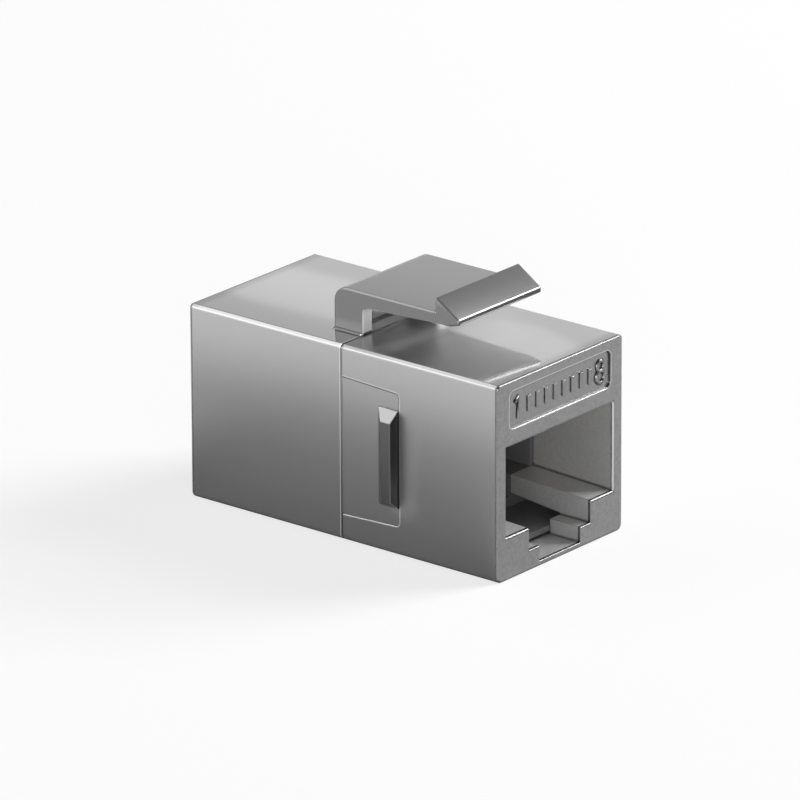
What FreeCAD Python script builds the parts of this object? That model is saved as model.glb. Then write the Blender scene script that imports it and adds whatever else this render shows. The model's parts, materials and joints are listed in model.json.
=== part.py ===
"""RJ45 inline coupler: two die-cast half shells round two moulded jack inserts and a small board.

The origin is on the underside, below the middle of the length. +Z is up, +Y runs from the front port to
the rear port, and the shells meet at y = 0. All sizes are millimetres.

Each half is modelled as a front half, with its port facing -Y. What repeats at the rear is turned half a
turn about Z.
"""
import FreeCAD
import Part
import Sketcher

import math
import os
import re

SIZES = {
    # Outer form of the two half shells
    "body_width": 14.6,
    "body_height": 15.2,
    "front_length": 14.5,
    "rear_length": 14.5,
    "top_edge_radius": 0.32,
    "bottom_edge_radius": 0.5,
    "face_edge_radius": 0.15,
    "seam_radius": 0.08,
    # Walls of the shells
    "port_wall": 1.05,
    "side_wall": 0.7,
    "roof_wall": 0.9,
    "floor_wall": 0.6,
    "mouth_wall": 2.1,
    # Port, counted from the face and from the underside
    "port_floor": 3.3,
    "port_height": 6.9,
    "port_depth": 11.9,
    "ledge_depth": 7.5,
    "ledge_rise": 0.3,
    "notch_width": 7.2,
    "notch_floor": 1.58,
    "catch_width": 4.8,
    "catch_floor": 0.4,
    "catch_wall": 2.85,
    "latch_room_width": 10.8,
    "ledge_thickness": 1.6,
    "ledge_taper": 0.2,
    "mouth_radius": 0.2,
    "notch_radius": 0.1,
    # Sunken label panel over the port
    "label_width": 11.8,
    "label_height": 2.9,
    "label_bottom": 11.5,
    "label_radius": 0.5,
    "label_depth": 0.15,
    # Witness pad and stop rib on each side of the front shell
    "pad_length": 5.35,
    "pad_bottom": 2.1,
    "pad_top": 12.8,
    "pad_taper": 0.22,
    "pad_radius": 0.35,
    "pad_depth": 0.05,
    "rib_place": 5.28,
    "rib_reach": 0.95,
    "rib_base": 1.85,
    "rib_crest": 0.9,
    "rib_bottom": 3.7,
    "rib_top": 11.25,
    "rib_end_slope": 0.7,
    "rib_radius": 0.08,
    # Snap latch on the rear shell
    "latch_width": 9.65,
    "post_thickness": 2.75,
    "post_radius": 1.15,
    "leg_width": 1.0,
    "recess_depth": 1.45,
    "recess_height": 1.7,
    "arm_top": 3.35,
    "root_radius": 0.38,
    "arm_root_thickness": 1.2,
    "arm_tip_thickness": 0.85,
    "latch_reach": 8.92,
    "wedge_length": 2.2,
    "wedge_rise": 1.2,
    "nose_drop": 0.26,
    "nose_thickness": 0.4,
    "nose_undercut": 0.72,
    "nose_radius": 0.12,
    "latch_edge_radius": 0.14,
    "latch_base_radius": 0.18,
    # Spigot of the rear shell, and the fits inside
    "spigot_length": 1.6,
    "spigot_thickness": 0.5,
    "spigot_root": 0.6,
    "fit_gap": 0.05,
    # Moulded insert behind each port
    "plug_width": 11.9,
    "tray_top": 1.1,
    "latch_slot_floor": 1.9,
    "bay_side_wall": 0.45,
    "bay_wall": 0.6,
    "tip_recess": 0.5,
    # Spring contacts
    "contact_pitch": 1.016,
    "contact_diameter": 0.46,
    "contact_lift": 0.55,
    "low_row_rise": 0.8,
    "high_row_rise": 1.95,
    "contact_bend_radius": 0.5,
    "contact_nose_radius": 0.55,
    "contact_nose_gap": 0.15,
    "contact_angle": 13,
    "comb_depth": 0.7,
    "comb_drop": 3.4,
    "tail_reach": 0.4,
    # Circuit board
    "board_thickness": 1.2,
    "board_corner_radius": 0.6,
    "tail_gap": 0.07,
}

CONTACTS = 8
MIDDLE_PLACE = (CONTACTS + 1) / 2

SHEET = "sizes"
WORD = re.compile(r"[a-z][a-z_]*")
TOLERANCE = 0.001

# Places that several pieces share, as expressions of the sizes
HALF_WIDTH = "(body_width / 2)"
PORT_HALF = "(body_width / 2 - port_wall)"
PORT_TOP = "(port_floor + port_height)"
HOLLOW_HALF = "(body_width / 2 - side_wall)"
HOLLOW_TOP = "(body_height - roof_wall)"
SPIGOT_HALF = "(body_width / 2 - side_wall - fit_gap)"
SPIGOT_TOP = "(body_height - roof_wall - fit_gap)"
SPIGOT_BOTTOM = "(floor_wall + fit_gap)"
THROAT_HALF = f"({SPIGOT_HALF} - spigot_thickness)"
THROAT_TOP = f"({SPIGOT_TOP} - spigot_thickness)"
THROAT_BOTTOM = f"({SPIGOT_BOTTOM} + spigot_thickness)"
LEDGE_END = "(port_floor + ledge_rise)"
INSERT_HALF = f"({THROAT_HALF} - fit_gap)"
INSERT_TOP = f"({THROAT_TOP} - fit_gap)"
INSERT_BOTTOM = f"({THROAT_BOTTOM} + fit_gap)"
INSERT_BACK = "(board_thickness / 2 + fit_gap)"

# Contacts, in the plane of one contact: the run over the roof, the tails' two rows and the free ends
RUN_HEIGHT = f"({PORT_TOP} + contact_lift)"
BAY_FLOOR = f"({RUN_HEIGHT} + contact_diameter / 2)"
GROOVE_FLOOR = f"({RUN_HEIGHT} - contact_diameter / 2 - tail_gap)"
LOW_ROW = f"({RUN_HEIGHT} + low_row_rise)"
HIGH_ROW = f"({RUN_HEIGHT} + high_row_rise)"
BAY_BACK = f"({INSERT_BACK} + tip_recess + bay_wall)"
FIRST_CONTACT = f"({1 - MIDDLE_PLACE} * contact_pitch)"
BAY_HALF = f"(contact_diameter / 2 + bay_side_wall - {FIRST_CONTACT})"
JOG_PLACE = f"({BAY_BACK} + contact_bend_radius)"
JOG_TANGENT = "(contact_bend_radius * tan(22.5 deg))"
GROOVE_WIDTH = "(contact_diameter + 2 * tail_gap)"

doc = FreeCAD.newDocument("coupler")
sheet = doc.addObject("Spreadsheet::Sheet", SHEET)
for row, (alias, size) in enumerate(SIZES.items(), start=1):
    sheet.set(f"A{row}", str(size))
    sheet.setAlias(f"A{row}", alias)
doc.recompute()


def bound(text):
    """The expression with each size's name pointing at its cell."""
    return WORD.sub(lambda found: f"{SHEET}.{found[0]}" if found[0] in SIZES else found[0], text)


def number(text):
    """What an expression comes to at the present sizes."""
    return float(sheet.evalExpression(bound(text)))


def new_body(label, turned=False):
    """A body of its own, turned to the rear port where asked."""
    body = doc.addObject("PartDesign::Body", label)
    body.Label = label
    turn = 180 if turned else 0
    body.Placement = FreeCAD.Placement(FreeCAD.Vector(), FreeCAD.Rotation(FreeCAD.Vector(0, 0, 1), turn))
    return body


def origin_feature(body, role):
    """The body's own plane or axis of that role."""
    return next(feature for feature in body.Origin.OriginFeatures if feature.Role == role)


def new_sketch(body, name, role, offset="0"):
    """A sketch on one of the body's planes. The XZ plane looks along -Y, so its offset counts towards -Y."""
    sketch = body.newObject("Sketcher::SketchObject", name)
    sketch.AttachmentSupport = [(origin_feature(body, role), "")]
    sketch.MapMode = "FlatFace"
    sketch.setExpression("AttachmentOffset.Base.z", bound(offset))
    return sketch


def hold(sketch, direction, geometry, point, text):
    """Fixes one coordinate of a sketch point to an expression."""
    axis = {"DistanceX": -2, "DistanceY": -1}[direction]
    if text == "0":
        sketch.addConstraint(Sketcher.Constraint("PointOnObject", geometry, point, axis))
        return
    index = sketch.addConstraint(Sketcher.Constraint(direction, -1, 1, geometry, point, number(text)))
    name = f"{direction}_{geometry}_{point}"
    sketch.renameConstraint(index, name)
    sketch.setExpression(f"Constraints.{name}", bound(text))


def add_outline(sketch, corners):
    """Draws a closed outline through corners that are pairs of expressions."""
    first = sketch.GeometryCount
    places = [FreeCAD.Vector(number(across), number(up), 0) for across, up in corners]
    for start, end in zip(places, places[1:] + places[:1]):
        sketch.addGeometry(Part.LineSegment(start, end), False)
    for step, (across, up) in enumerate(corners):
        line = first + step
        follower = first + (step + 1) % len(corners)
        sketch.addConstraint(Sketcher.Constraint("Coincident", line, 2, follower, 1))
        hold(sketch, "DistanceX", line, 1, across)
        hold(sketch, "DistanceY", line, 1, up)


def add_rectangle(sketch, left, bottom, right, top):
    """Draws a rectangle between two pairs of expressions."""
    add_outline(sketch, [(left, bottom), (right, bottom), (right, top), (left, top)])


def add_circle(sketch, across, up, diameter):
    """Draws a circle about a pair of expressions."""
    centre = FreeCAD.Vector(number(across), number(up), 0)
    index = sketch.addGeometry(Part.Circle(centre, FreeCAD.Vector(0, 0, 1), number(diameter) / 2), False)
    hold(sketch, "DistanceX", index, 3, across)
    hold(sketch, "DistanceY", index, 3, up)
    constraint = sketch.addConstraint(Sketcher.Constraint("Diameter", index, number(diameter)))
    sketch.renameConstraint(constraint, f"diameter_{index}")
    sketch.setExpression(f"Constraints.diameter_{index}", bound(diameter))


def extrude(body, kind, sketch, length, symmetric=False, reverse=False):
    """A pad or pocket of the sketch."""
    feature = body.newObject(f"PartDesign::{kind}", f"{sketch.Name}_{kind.lower()}")
    feature.Profile = sketch
    feature.SideType = "Symmetric" if symmetric else "One side"
    feature.Reversed = reverse
    feature.setExpression("Length", bound(length))
    doc.recompute()
    return feature


def pad(body, sketch, length, **sides):
    """Adds the sketch, pulled to a length."""
    return extrude(body, "Pad", sketch, length, **sides)


def pocket(body, sketch, length, **sides):
    """Cuts the sketch, pushed to a length, and makes sure that it cuts."""
    before = body.Tip.Shape.Volume
    feature = extrude(body, "Pocket", sketch, length, **sides)
    if feature.Shape.Volume > before - TOLERANCE ** 2:
        raise RuntimeError(f"{feature.Name} cuts nothing")
    return feature


def within(low, high, limits):
    """Whether a span lies between limits: one expression, a pair of them, or None for anywhere."""
    if limits is None:
        return True
    ends = (limits, limits) if isinstance(limits, str) else limits
    return low > number(ends[0]) - TOLERANCE and high < number(ends[1]) + TOLERANCE


def find_edges(body, x=None, y=None, z=None):
    """Names of the edges of the body's last feature that lie within the limits."""
    names = []
    for index, edge in enumerate(body.Tip.Shape.Edges, start=1):
        box = edge.BoundBox
        spans = ((box.XMin, box.XMax, x), (box.YMin, box.YMax, y), (box.ZMin, box.ZMax, z))
        if all(within(*span) for span in spans):
            names.append(f"Edge{index}")
    return names


def round_edges(body, name, radius, edges):
    """Rounds the named edges of the body's last feature."""
    if not edges:
        raise RuntimeError(f"{name} found no edge")
    base = body.Tip
    feature = body.newObject("PartDesign::Fillet", name)
    feature.Base = (base, sorted(set(edges), key=lambda edge: int(edge[4:])))
    feature.setExpression("Radius", bound(radius))
    doc.recompute()
    return feature


def repeat_across(body, feature, count, spacing):
    """Repeats a feature along +X."""
    pattern = body.newObject("PartDesign::LinearPattern", f"{feature.Name}_row")
    pattern.Originals = [feature]
    pattern.Direction = (origin_feature(body, "X_Axis"), [""])
    pattern.Occurrences = count
    pattern.setExpression("Length", bound(f"{count - 1} * {spacing}"))
    body.Tip = pattern
    doc.recompute()


def both_sides(value):
    """A place and its mirror image across the middle."""
    return [f"-({value})", f"({value})"]


def add_block(body, length):
    """The outer block of a half shell, with its edges rounded."""
    section = new_sketch(body, f"{body.Name}_section", "XZ_Plane")
    add_rectangle(section, f"-{HALF_WIDTH}", "0", HALF_WIDTH, "body_height")
    pad(body, section, length)
    top = [edge for side in both_sides(HALF_WIDTH) for edge in find_edges(body, x=side, z="body_height")]
    round_edges(body, f"{body.Name}_top_edges", "top_edge_radius", top)
    bottom = [edge for side in both_sides(HALF_WIDTH) for edge in find_edges(body, x=side, z="0")]
    round_edges(body, f"{body.Name}_bottom_edges", "bottom_edge_radius", bottom)
    round_edges(body, f"{body.Name}_face_edges", "face_edge_radius", find_edges(body, y=f"-{length}"))
    round_edges(body, f"{body.Name}_seam_edges", "seam_radius", find_edges(body, y="0"))


def cut_port(body, length):
    """The plug's way in, the stepped notch for its latch and the room behind the latch's catch."""
    face = f"(-{length})"
    inner_end = f"({face} + ledge_depth)"

    way = new_sketch(body, f"{body.Name}_plug_way", "YZ_Plane")
    add_outline(way, [
        (face, "port_floor"), (inner_end, LEDGE_END), (inner_end, HOLLOW_TOP),
        (f"{face} + mouth_wall", HOLLOW_TOP), (f"{face} + mouth_wall", PORT_TOP), (face, PORT_TOP),
    ])
    pocket(body, way, f"2 * {PORT_HALF}", symmetric=True)

    notch = new_sketch(body, f"{body.Name}_notch", "XZ_Plane", length)
    add_rectangle(notch, "-notch_width / 2", "notch_floor", "notch_width / 2", LEDGE_END)
    pocket(body, notch, "ledge_depth")

    catch = new_sketch(body, f"{body.Name}_catch", "XZ_Plane", length)
    add_rectangle(catch, "-catch_width / 2", "catch_floor", "catch_width / 2", "notch_floor")
    pocket(body, catch, "catch_wall")

    room = new_sketch(body, f"{body.Name}_latch_room", "YZ_Plane")
    add_outline(room, [
        (f"{face} + catch_wall", "catch_floor"), (inner_end, "catch_floor"),
        (inner_end, f"{LEDGE_END} - ledge_thickness + ledge_taper"),
        (f"{face} + catch_wall", "port_floor - ledge_thickness"),
    ])
    pocket(body, room, "latch_room_width", symmetric=True)

    mouth = []
    for side in both_sides(PORT_HALF):
        mouth += find_edges(body, side, face, ("port_floor", PORT_TOP))
    for height in (PORT_TOP, "port_floor"):
        mouth += find_edges(body, both_sides(PORT_HALF), face, height)
    round_edges(body, f"{body.Name}_mouth_edges", "mouth_radius", mouth)

    notch_edges = find_edges(body, both_sides("notch_width / 2"), face, ("catch_floor", "port_floor"))
    round_edges(body, f"{body.Name}_notch_edges", "notch_radius", notch_edges)


def cut_label_panel(body, length):
    """The sunken panel with rounded corners over the port."""
    panel = new_sketch(body, f"{body.Name}_label", "XZ_Plane", length)
    label_top = "(label_bottom + label_height)"
    add_rectangle(panel, "-label_width / 2", "label_bottom", "label_width / 2", label_top)
    pocket(body, panel, "label_depth")
    depth = (f"-{length}", f"-{length} + label_depth")
    corners = []
    for side in both_sides("label_width / 2"):
        for end in ("label_bottom", label_top):
            corners += find_edges(body, side, depth, end)
    round_edges(body, f"{body.Name}_label_corners", "label_radius", corners)


def make_front_shell():
    """Half shell with the witness pads and the stop ribs."""
    body = new_body("front_shell")
    add_block(body, "front_length")

    pad_corners = []
    for name, side in zip(("left", "right"), both_sides(HALF_WIDTH)):
        outline = new_sketch(body, f"{name}_pad", "YZ_Plane", side)
        add_outline(outline, [
            ("0", "pad_bottom"), ("0", "pad_top"),
            ("-pad_length", "pad_top - pad_taper"), ("-pad_length", "pad_bottom + pad_taper"),
        ])
        pocket(body, outline, "pad_depth", reverse=name == "left")
    for side in both_sides(f"{HALF_WIDTH} - pad_depth / 2"):
        depth = (f"{side} - pad_depth / 2", f"{side} + pad_depth / 2")
        for end in ("pad_bottom + pad_taper", "pad_top - pad_taper"):
            pad_corners += find_edges(body, depth, "-pad_length", end)
    round_edges(body, "pad_corners", "pad_radius", pad_corners)

    root = f"({HALF_WIDTH} - side_wall / 2)"
    crest = f"({HALF_WIDTH} + rib_reach)"
    ribs = new_sketch(body, "ribs", "XY_Plane", "rib_bottom")
    ends = new_sketch(body, "rib_ends", "XZ_Plane", "rib_place")
    for sign in ("-", "+"):
        add_outline(ribs, [
            (f"{sign}{root}", "-rib_place"), (f"{sign}{crest}", "-rib_place"),
            (f"{sign}{crest}", "-rib_place + rib_crest"), (f"{sign}{HALF_WIDTH}", "-rib_place + rib_base"),
            (f"{sign}{root}", "-rib_place + rib_base"),
        ])
        for end, slope in (("rib_top", "-rib_end_slope"), ("rib_bottom", "+rib_end_slope")):
            add_outline(ends, [
                (f"{sign}{HALF_WIDTH}", end), (f"{sign}{crest}", end), (f"{sign}{crest}", f"{end} {slope}"),
            ])
    pad(body, ribs, "rib_top - rib_bottom")
    pocket(body, ends, "rib_base")

    crest_edges = []
    for side in both_sides(crest):
        crest_edges += find_edges(body, x=side)
    round_edges(body, "rib_edges", "rib_radius", crest_edges)

    hollow = new_sketch(body, "front_hollow", "XZ_Plane")
    add_rectangle(hollow, f"-{HOLLOW_HALF}", "floor_wall", HOLLOW_HALF, HOLLOW_TOP)
    pocket(body, hollow, "front_length - ledge_depth", reverse=True)
    cut_port(body, "front_length")
    cut_label_panel(body, "front_length")
    return body


def add_latch(body):
    """The snap latch: a post on the seam, an arm that reaches over the front shell and a wedge at its end."""
    top = "(body_height + arm_top)"
    wedge_back = "(latch_reach - wedge_length)"
    wedge_top = f"({top} + wedge_rise)"
    nose_top = f"({top} - nose_drop)"
    nose_bottom = f"({nose_top} - nose_thickness)"
    tip_under = f"({top} - arm_tip_thickness)"
    root_under = f"({top} - arm_root_thickness)"
    profile = new_sketch(body, "latch_profile", "YZ_Plane")
    add_outline(profile, [
        ("-post_thickness", "body_height - roof_wall / 2"), ("0", "body_height - roof_wall / 2"),
        ("0", root_under), (wedge_back, tip_under), ("latch_reach - nose_undercut", tip_under),
        ("latch_reach", nose_bottom), ("latch_reach", nose_top),
        (wedge_back, wedge_top), (wedge_back, top), ("-post_thickness", top),
    ])
    pad(body, profile, "latch_width", symmetric=True)
    round_edges(body, "post_edge", "post_radius", find_edges(body, y="-post_thickness", z=top))
    round_edges(body, "root_edge", "root_radius", find_edges(body, y="0", z=root_under))
    nose = find_edges(body, y="latch_reach", z=nose_top) + find_edges(body, y="latch_reach", z=nose_bottom)
    nose += find_edges(body, y=wedge_back, z=wedge_top)
    round_edges(body, "nose_edges", "nose_radius", nose)
    recess = new_sketch(body, "post_recess", "XZ_Plane")
    leg = "(latch_width / 2 - leg_width)"
    add_rectangle(recess, f"-{leg}", "body_height", leg, "body_height + recess_height")
    pocket(body, recess, "recess_depth", reverse=True)
    base = find_edges(body, y="-post_thickness", z="body_height")
    for side in both_sides("latch_width / 2"):
        base += find_edges(body, x=side, z="body_height")
    round_edges(body, "latch_base", "latch_base_radius", base)
    sides = []
    post_span = ("-post_thickness", "-post_thickness + post_radius")
    for side in both_sides("latch_width / 2"):
        sides += find_edges(body, side, post_span, ("body_height", top))
        sides += find_edges(body, x=side, z=top)
        sides += find_edges(body, side, (wedge_back, "latch_reach"), (top, wedge_top))
    round_edges(body, "latch_edges", "latch_edge_radius", sides)


def make_rear_shell():
    """Half shell with the latch and the spigot."""
    body = new_body("rear_shell", turned=True)
    add_block(body, "rear_length")
    add_latch(body)

    spigot = new_sketch(body, "spigot", "XZ_Plane")
    add_rectangle(spigot, f"-{SPIGOT_HALF}", SPIGOT_BOTTOM, SPIGOT_HALF, SPIGOT_TOP)
    pad(body, spigot, "spigot_length", reverse=True)

    throat = new_sketch(body, "throat", "XZ_Plane", "-spigot_length")
    add_rectangle(throat, f"-{THROAT_HALF}", THROAT_BOTTOM, THROAT_HALF, THROAT_TOP)
    pocket(body, throat, "spigot_length + spigot_root", reverse=True)

    hollow = new_sketch(body, "rear_hollow", "XZ_Plane", "spigot_root")
    add_rectangle(hollow, f"-{HOLLOW_HALF}", "floor_wall", HOLLOW_HALF, HOLLOW_TOP)
    pocket(body, hollow, "rear_length - ledge_depth - spigot_root", reverse=True)
    cut_port(body, "rear_length")
    return body


def end_length(end):
    """The length of the half shell at that end."""
    return f"{end}_length"


def make_insert(end):
    """The moulded insert: back wall, roof, cheeks and tray, with the contacts' bay, grooves and comb."""
    body = new_body(f"{end}_insert", turned=(end == "rear"))
    face = f"(-{end_length(end)})"
    front = f"({face} + mouth_wall + fit_gap)"
    wall = f"({face} + port_depth)"
    cheek = f"({face} + ledge_depth + fit_gap)"
    groove_front = f"({front} + bay_wall)"

    spine = new_sketch(body, f"{end}_insert_spine", "YZ_Plane")
    add_outline(spine, [
        (f"-{INSERT_BACK}", INSERT_BOTTOM), (f"-{INSERT_BACK}", INSERT_TOP), (front, INSERT_TOP),
        (front, PORT_TOP), (wall, PORT_TOP), (wall, INSERT_BOTTOM),
    ])
    pad(body, spine, f"2 * {INSERT_HALF}", symmetric=True)

    block = new_sketch(body, f"{end}_insert_block", "XZ_Plane", f"-{cheek}")
    hollow_half = f"({HOLLOW_HALF} - fit_gap)"
    floor = "(floor_wall + fit_gap)"
    add_rectangle(block, f"-{hollow_half}", floor, hollow_half, f"{HOLLOW_TOP} - fit_gap")
    pad(body, block, f"-{cheek} - spigot_length - fit_gap", reverse=True)

    tray = new_sketch(body, f"{end}_insert_tray", "XZ_Plane", f"-{cheek}")
    tray_half = "(latch_room_width / 2 - fit_gap)"
    add_rectangle(tray, f"-{tray_half}", floor, tray_half, "tray_top")
    pad(body, tray, "ledge_depth - catch_wall")

    bay = new_sketch(body, f"{end}_plug_bay", "YZ_Plane")
    add_rectangle(bay, cheek, LEDGE_END, wall, PORT_TOP)
    pocket(body, bay, "plug_width", symmetric=True)
    slot = new_sketch(body, f"{end}_latch_slot", "XZ_Plane", f"-{cheek}")
    add_rectangle(slot, "-notch_width / 2", "latch_slot_floor", "notch_width / 2", LEDGE_END)
    pocket(body, slot, f"{wall} - {cheek}")

    contact_bay = new_sketch(body, f"{end}_contact_bay", "YZ_Plane")
    add_rectangle(contact_bay, groove_front, BAY_FLOOR, f"-{BAY_BACK}", HOLLOW_TOP)
    pocket(body, contact_bay, f"2 * {BAY_HALF}", symmetric=True)

    groove = new_sketch(body, f"{end}_groove", "YZ_Plane", FIRST_CONTACT)
    comb_back = f"({wall} + comb_depth)"
    comb_end = f"({PORT_TOP} - comb_drop)"
    add_outline(groove, [
        (groove_front, PORT_TOP), (wall, PORT_TOP), (wall, comb_end), (comb_back, comb_end),
        (comb_back, GROOVE_FLOOR), (f"-{BAY_BACK}", GROOVE_FLOOR), (f"-{BAY_BACK}", BAY_FLOOR),
        (groove_front, BAY_FLOOR),
    ])
    first_groove = pocket(body, groove, GROOVE_WIDTH, symmetric=True)
    repeat_across(body, first_groove, CONTACTS, "contact_pitch")

    tails = new_sketch(body, f"{end}_tail_holes", "XZ_Plane", INSERT_BACK)
    add_circle(tails, FIRST_CONTACT, HIGH_ROW, GROOVE_WIDTH)
    add_circle(tails, f"{FIRST_CONTACT} + contact_pitch", LOW_ROW, GROOVE_WIDTH)
    first_holes = pocket(body, tails, "tip_recess + bay_wall", reverse=True)
    repeat_across(body, first_holes, CONTACTS // 2, "2 * contact_pitch")

    recess = new_sketch(body, f"{end}_tip_recess", "XZ_Plane", INSERT_BACK)
    recess_half = f"(contact_pitch / 2 - {FIRST_CONTACT})"
    add_rectangle(recess, f"-{recess_half}", f"{LOW_ROW} - contact_diameter",
                  recess_half, f"{HIGH_ROW} + contact_diameter")
    pocket(body, recess, "tip_recess", reverse=True)
    return body


def make_contact_cover(end):
    """The moulded cover that closes the contact bay from above."""
    body = new_body(f"{end}_contact_cover", turned=(end == "rear"))
    section = new_sketch(body, f"{end}_cover_section", "YZ_Plane")
    bay_front = f"(-{end_length(end)} + mouth_wall + fit_gap + bay_wall + fit_gap)"
    bay_end = f"(-{JOG_PLACE} - high_row_rise - contact_bend_radius)"
    add_rectangle(section, bay_front, f"{BAY_FLOOR} + fit_gap", bay_end, f"{HOLLOW_TOP} - fit_gap")
    pad(body, section, f"2 * ({BAY_HALF} - fit_gap)", symmetric=True)
    return body


def make_board():
    """The board across the middle, with a hole for each contact's tail."""
    body = new_body("circuit_board")
    section = new_sketch(body, "board_section", "XZ_Plane")
    half = f"({INSERT_HALF} - fit_gap)"
    bottom = f"({INSERT_BOTTOM} + fit_gap)"
    top = f"({INSERT_TOP} - fit_gap)"
    add_rectangle(section, f"-{half}", bottom, half, top)
    pad(body, section, "board_thickness", symmetric=True)
    corners = []
    for side in both_sides(half):
        for end in (bottom, top):
            corners += find_edges(body, x=side, z=end)
    round_edges(body, "board_corners", "board_corner_radius", corners)
    holes = new_sketch(body, "board_holes", "XZ_Plane")
    for height in (LOW_ROW, HIGH_ROW):
        add_circle(holes, FIRST_CONTACT, height, GROOVE_WIDTH)
    first_holes = pocket(body, holes, "2 * board_thickness", symmetric=True)
    repeat_across(body, first_holes, CONTACTS, "contact_pitch")
    return body


def point(across, up):
    """The sketch point at a pair of expressions."""
    return FreeCAD.Vector(number(across), number(up), 0)


def arc_about(centre, radius, start, end):
    """An arc about a point, between two angles in degrees."""
    circle = Part.Circle(centre, FreeCAD.Vector(0, 0, 1), number(radius))
    return Part.ArcOfCircle(circle, math.radians(start), math.radians(end))


def make_contact(end, place):
    """One spring wire: tail through the board, jog, run over the roof, nose and free end in the comb."""
    turned = end == "rear"
    body = new_body(f"{end}_contact_{place}", turned)
    across = f"({place - MIDDLE_PLACE} * contact_pitch)"
    body.setExpression(".Placement.Base.x", bound(f"-({across})" if turned else across))
    face = f"(-{end_length(end)})"
    row = HIGH_ROW if place % 2 else LOW_ROW
    rise = f"({row} - {RUN_HEIGHT})"
    tail_end = "(board_thickness / 2 + tail_reach)"
    jog_start = f"(-{JOG_PLACE} + {JOG_TANGENT})"
    jog_end = f"(-{JOG_PLACE} - {rise} - {JOG_TANGENT})"
    bay_front = f"({face} + mouth_wall + fit_gap + bay_wall)"
    nose = f"({bay_front} + contact_nose_gap + contact_diameter / 2 + contact_nose_radius)"
    nose_centre = f"({RUN_HEIGHT} - contact_nose_radius)"
    free_end = f"({face} + port_depth + comb_depth / 2)"
    slope = "(contact_angle * 1 deg)"
    return_start = (f"({nose} - contact_nose_radius * sin({slope}))",
                    f"({nose_centre} - contact_nose_radius * cos({slope}))")
    free_height = f"({return_start[1]} - ({free_end} - {return_start[0]}) * tan({slope}))"

    path = new_sketch(body, f"{body.Name}_path", "YZ_Plane")
    bend_reach = number("contact_bend_radius") * math.sin(math.radians(45))
    first_bend = point(jog_start, f"{row} - contact_bend_radius")
    second_bend = point(jog_end, f"{RUN_HEIGHT} + contact_bend_radius")
    nose_place = point(nose, nose_centre)
    tail = Part.LineSegment(point(tail_end, row), point(jog_start, row))
    jog = Part.LineSegment(first_bend + FreeCAD.Vector(-bend_reach, bend_reach, 0),
                           second_bend + FreeCAD.Vector(bend_reach, -bend_reach, 0))
    run = Part.LineSegment(point(jog_end, RUN_HEIGHT), point(nose, RUN_HEIGHT))
    free = Part.LineSegment(point(*return_start), point(free_end, free_height))
    bends = [
        arc_about(first_bend, "contact_bend_radius", 90, 135),
        arc_about(second_bend, "contact_bend_radius", 270, 315),
        arc_about(nose_place, "contact_nose_radius", 90, 270 - number("contact_angle")),
    ]
    tail_line, jog_line, run_line, free_line = [path.addGeometry(line, False) for line in (tail, jog, run, free)]
    first_arc, second_arc, nose_arc = [path.addGeometry(arc, False) for arc in bends]
    for joint in ((tail_line, 2, first_arc, 1), (first_arc, 2, jog_line, 1), (jog_line, 2, second_arc, 2),
                  (second_arc, 1, run_line, 1), (run_line, 2, nose_arc, 1), (nose_arc, 2, free_line, 1)):
        path.addConstraint(Sketcher.Constraint("Tangent", *joint))
    path.addConstraint(Sketcher.Constraint("Horizontal", tail_line))
    path.addConstraint(Sketcher.Constraint("Horizontal", run_line))
    path.addConstraint(Sketcher.Constraint("Equal", first_arc, second_arc))
    for arc, radius in ((first_arc, "contact_bend_radius"), (nose_arc, "contact_nose_radius")):
        index = path.addConstraint(Sketcher.Constraint("Radius", arc, number(radius)))
        path.renameConstraint(index, f"radius_{arc}")
        path.setExpression(f"Constraints.radius_{arc}", bound(radius))
    hold(path, "DistanceX", tail_line, 1, tail_end)
    hold(path, "DistanceY", tail_line, 1, row)
    hold(path, "DistanceX", tail_line, 2, jog_start)
    hold(path, "DistanceX", run_line, 1, jog_end)
    hold(path, "DistanceY", run_line, 1, RUN_HEIGHT)
    hold(path, "DistanceX", run_line, 2, nose)
    hold(path, "DistanceX", free_line, 2, free_end)
    hold(path, "DistanceY", free_line, 2, free_height)

    section = new_sketch(body, f"{body.Name}_section", "XZ_Plane", f"-{tail_end}")
    add_circle(section, "0", row, "contact_diameter")
    wire = body.newObject("PartDesign::AdditivePipe", f"{body.Name}_wire")
    wire.Profile = section
    wire.Spine = (path, [])
    doc.recompute()
    return body


def export(bodies):
    """Checks every object, then writes each piece to a file of its own."""
    doc.recompute()
    for item in doc.Objects:
        if "Invalid" in item.State or "Error" in item.State:
            raise RuntimeError(f"{item.Label} failed: {item.State}")
    for body in bodies:
        if body.Shape.isNull() or not body.Shape.isValid():
            raise RuntimeError(f"{body.Label} has no valid shape")
    os.makedirs("parts", exist_ok=True)
    for body in bodies:
        body.Shape.exportStep(os.path.join("parts", f"{body.Label}.step"))
        print(body.Label, len(body.Shape.Solids), round(body.Shape.Volume, 3))


pieces = [make_front_shell(), make_rear_shell(), make_board()]
for port in ("front", "rear"):
    pieces.append(make_insert(port))
    pieces.append(make_contact_cover(port))
    pieces += [make_contact(port, place) for place in range(1, CONTACTS + 1)]
export(pieces)
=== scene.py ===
"""RJ45 inline coupler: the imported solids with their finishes, the raised panel marks and the studio.

Lengths are metres, in the frame of the solids: +Y from the front port to the rear port, +Z up.
"""
import json
import math

import bpy
from mathutils import Matrix, Vector

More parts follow.
